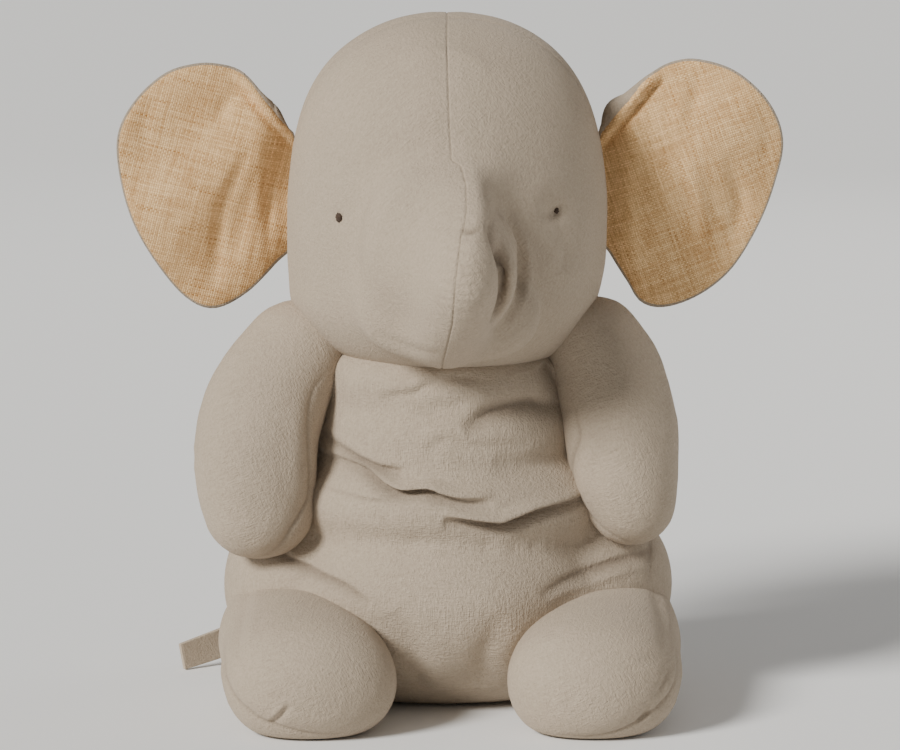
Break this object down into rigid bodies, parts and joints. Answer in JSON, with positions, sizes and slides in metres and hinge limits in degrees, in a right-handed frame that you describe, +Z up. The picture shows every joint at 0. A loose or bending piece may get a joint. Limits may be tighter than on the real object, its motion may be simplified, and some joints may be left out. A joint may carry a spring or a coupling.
{
  "type": "stuffed elephant",
  "caption": "Sitting stuffed elephant in grey linen with straw-coloured ear linings, a short drooping trunk, stubby arms and legs, and a strap tail.",
  "frame": {"origin": "middle of the seat's flat patch on the floor", "axes": "+Z up, the elephant faces -Y, its own left side is +X"},
  "size_m": [0.321, 0.2132, 0.3325],
  "materials": {
    "grey_linen": "matte",
    "straw_linen": "matte",
    "fibre_filling": "matte",
    "eye_thread": "matte"
  },
  "bodies": {
    "torso": {"chest_panel": "grey_linen", "pelvis_panel": "grey_linen", "back_panel_left": "grey_linen", "back_panel_right": "grey_linen", "body_filling": "fibre_filling"},
    "head": {"head_panel_left": "grey_linen", "head_panel_right": "grey_linen", "head_back_panel": "grey_linen", "head_filling": "fibre_filling", "eye_knot_left": "eye_thread", "eye_knot_right": "eye_thread"},
    "trunk": {"trunk_panel_left": "grey_linen", "trunk_panel_right": "grey_linen", "trunk_filling": "fibre_filling"},
    "ear_left": {"ear_lining_left": "straw_linen", "ear_wadding_left": "fibre_filling", "ear_back_left": "grey_linen"},
    "arm_left": {"arm_front_panel_left": "grey_linen", "arm_back_panel_left": "grey_linen", "arm_filling_left": "fibre_filling"},
    "leg_left": {"leg_upper_panel_left": "grey_linen", "leg_sole_panel_left": "grey_linen", "leg_filling_left": "fibre_filling"},
    "ear_right": {"ear_lining_right": "straw_linen", "ear_wadding_right": "fibre_filling", "ear_back_right": "grey_linen"},
    "arm_right": {"arm_front_panel_right": "grey_linen", "arm_back_panel_right": "grey_linen", "arm_filling_right": "fibre_filling"},
    "leg_right": {"leg_upper_panel_right": "grey_linen", "leg_sole_panel_right": "grey_linen", "leg_filling_right": "fibre_filling"},
    "tail": {"tail_strap": "grey_linen"}
  },
  "joints": [
    {"name": "neck_nod", "type": "hinge", "parent": "torso", "child": "head", "pos_m": [0, 0, 0.168], "axis": [1, 0, 0], "range_deg": [-11, 11], "stiffness_Nm_per_rad": 0.9},
    {"name": "trunk_swing", "type": "hinge", "parent": "head", "child": "trunk", "pos_m": [0, -0.0992, 0.238], "axis": [1, 0, 0], "range_deg": [-20, 15], "stiffness_Nm_per_rad": 0.05},
    {"name": "ear_left_flap", "type": "hinge", "parent": "head", "child": "ear_left", "pos_m": [0.0805, 0.014, 0.218], "axis": [0, 0, 1], "range_deg": [-35, 30], "stiffness_Nm_per_rad": 0.02},
    {"name": "arm_left_swing", "type": "hinge", "parent": "torso", "child": "arm_left", "pos_m": [0.083, -0.012, 0.153], "axis": [1, 0, 0], "range_deg": [-60, 8], "stiffness_Nm_per_rad": 0.12},
    {"name": "leg_left_swing", "type": "hinge", "parent": "torso", "child": "leg_left", "pos_m": [0.075, -0.03, 0.038], "axis": [1, 0, 0], "range_deg": [-12, 35], "stiffness_Nm_per_rad": 0.4},
    {"name": "ear_right_flap", "type": "hinge", "parent": "head", "child": "ear_right", "pos_m": [-0.0805, 0.014, 0.218], "axis": [0, 0, 1], "range_deg": [-30, 35], "stiffness_Nm_per_rad": 0.02},
    {"name": "arm_right_swing", "type": "hinge", "parent": "torso", "child": "arm_right", "pos_m": [-0.083, -0.012, 0.153], "axis": [1, 0, 0], "range_deg": [-60, 8], "stiffness_Nm_per_rad": 0.12},
    {"name": "leg_right_swing", "type": "hinge", "parent": "torso", "child": "leg_right", "pos_m": [-0.075, -0.03, 0.038], "axis": [1, 0, 0], "range_deg": [-12, 35], "stiffness_Nm_per_rad": 0.4},
    {"name": "tail_swish", "type": "hinge", "parent": "torso", "child": "tail", "pos_m": [0, 0.0756, 0.044], "axis": [0, 0, 1], "range_deg": [-165, 0]}
  ]
}
